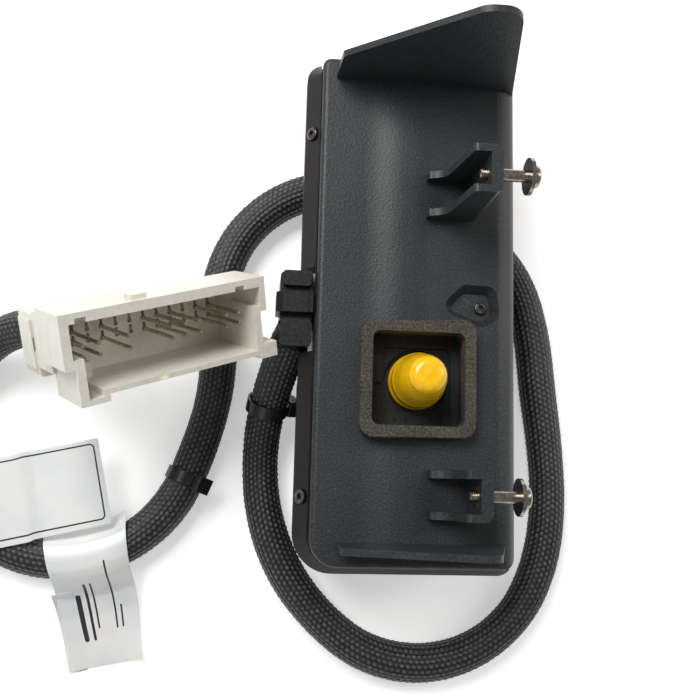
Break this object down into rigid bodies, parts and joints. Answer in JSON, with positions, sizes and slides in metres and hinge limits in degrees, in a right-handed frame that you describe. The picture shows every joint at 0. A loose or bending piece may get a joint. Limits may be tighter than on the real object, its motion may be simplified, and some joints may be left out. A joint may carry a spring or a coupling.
{
  "type": "windscreen camera control unit",
  "caption": "Windscreen camera control unit in a long black housing with glare hood, screw clamp brackets, foam glass seal, capped lens and a braided harness ending in a white connector.",
  "frame": {"origin": "middle of the unit's box on the surface its back lies on, the harness not counted", "axes": "+Z out of the face that meets the glass, +Y along the housing towards the glare hood, +X towards the clamp screws' heads"},
  "size_m": [0.2332, 0.2184, 0.0911],
  "materials": {
    "housing_black": "satin",
    "cover_black": "satin",
    "foam": "matte",
    "cap_yellow": "gloss",
    "screw_steel": "satin",
    "insert_brass": "satin",
    "glass": "gloss",
    "barrel_black": "satin",
    "board_green": "satin",
    "chip_black": "satin",
    "aluminium": "satin",
    "silicone": "matte",
    "braid": "matte",
    "nylon_black": "satin",
    "film": "satin",
    "ivory": "satin",
    "pin_tin": "gloss",
    "plug_black": "satin"
  },
  "bodies": {
    "unit": {"front_housing": "housing_black", "rear_cover": "cover_black", "side_cover_screws": "screw_steel", "pocket_screw": "screw_steel", "glass_gasket": "foam", "lens_shroud": "cover_black", "harness_plug": "plug_black", "plug_strap": "plug_black", "harness_sleeve": "braid", "tie_near_plug": "nylon_black", "tie_near_connector": "nylon_black", "label_flag_a": "film", "label_flag_b": "film", "connector_shell": "ivory", "connector_pins": "pin_tin", "connector_retainer": "ivory", "perimeter_seal": "silicone", "threaded_inserts": "insert_brass", "lens_barrel": "barrel_black", "lens_front_element": "glass", "lens_rear_element": "glass", "lens_retaining_ring": "barrel_black", "lens_holder": "chip_black", "image_sensor": "chip_black", "sensor_board": "board_green", "sensor_flex": "chip_black", "main_board": "board_green", "processor_chip": "chip_black", "memory_chips": "chip_black", "capacitors": "aluminium", "board_header": "chip_black", "header_pins": "pin_tin", "heat_spreader": "aluminium", "thermal_pad": "silicone", "board_screws": "screw_steel", "plug_seal": "silicone", "pressure_vent": "nylon_black"},
    "lens_cap_body": {"lens_cap": "cap_yellow"},
    "upper_washer_body": {"upper_washer": "screw_steel"},
    "upper_screw_body": {"upper_mount_screw": "screw_steel"},
    "lower_washer_body": {"lower_washer": "screw_steel"},
    "lower_screw_body": {"lower_mount_screw": "screw_steel"}
  },
  "joints": [
    {"name": "lens_cap_pull", "type": "slide", "parent": "unit", "child": "lens_cap_body", "axis": [0, 0, 1], "range_m": [0, 0.03]},
    {"name": "upper_screw_travel", "type": "slide", "parent": "unit", "child": "upper_washer_body", "axis": [-1, 0, 0], "range_m": [0, 0.00894]},
    {"name": "upper_screw_turn", "type": "hinge", "parent": "upper_washer_body", "child": "upper_screw_body", "pos_m": [0.03, 0.03985, 0.0695], "axis": [-1, 0, 0], "range_deg": [0, 4600]},
    {"name": "lower_screw_travel", "type": "slide", "parent": "unit", "child": "lower_washer_body", "axis": [-1, 0, 0], "range_m": [0, 0.00894]},
    {"name": "lower_screw_turn", "type": "hinge", "parent": "lower_washer_body", "child": "lower_screw_body", "pos_m": [0.03, -0.06215, 0.0585], "axis": [-1, 0, 0], "range_deg": [0, 4600]}
  ],
  "couplings": [
    {"joint": "upper_screw_turn", "follows": "upper_screw_travel", "rad_per_m": 8976},
    {"joint": "lower_screw_turn", "follows": "lower_screw_travel", "rad_per_m": 8976}
  ]
}
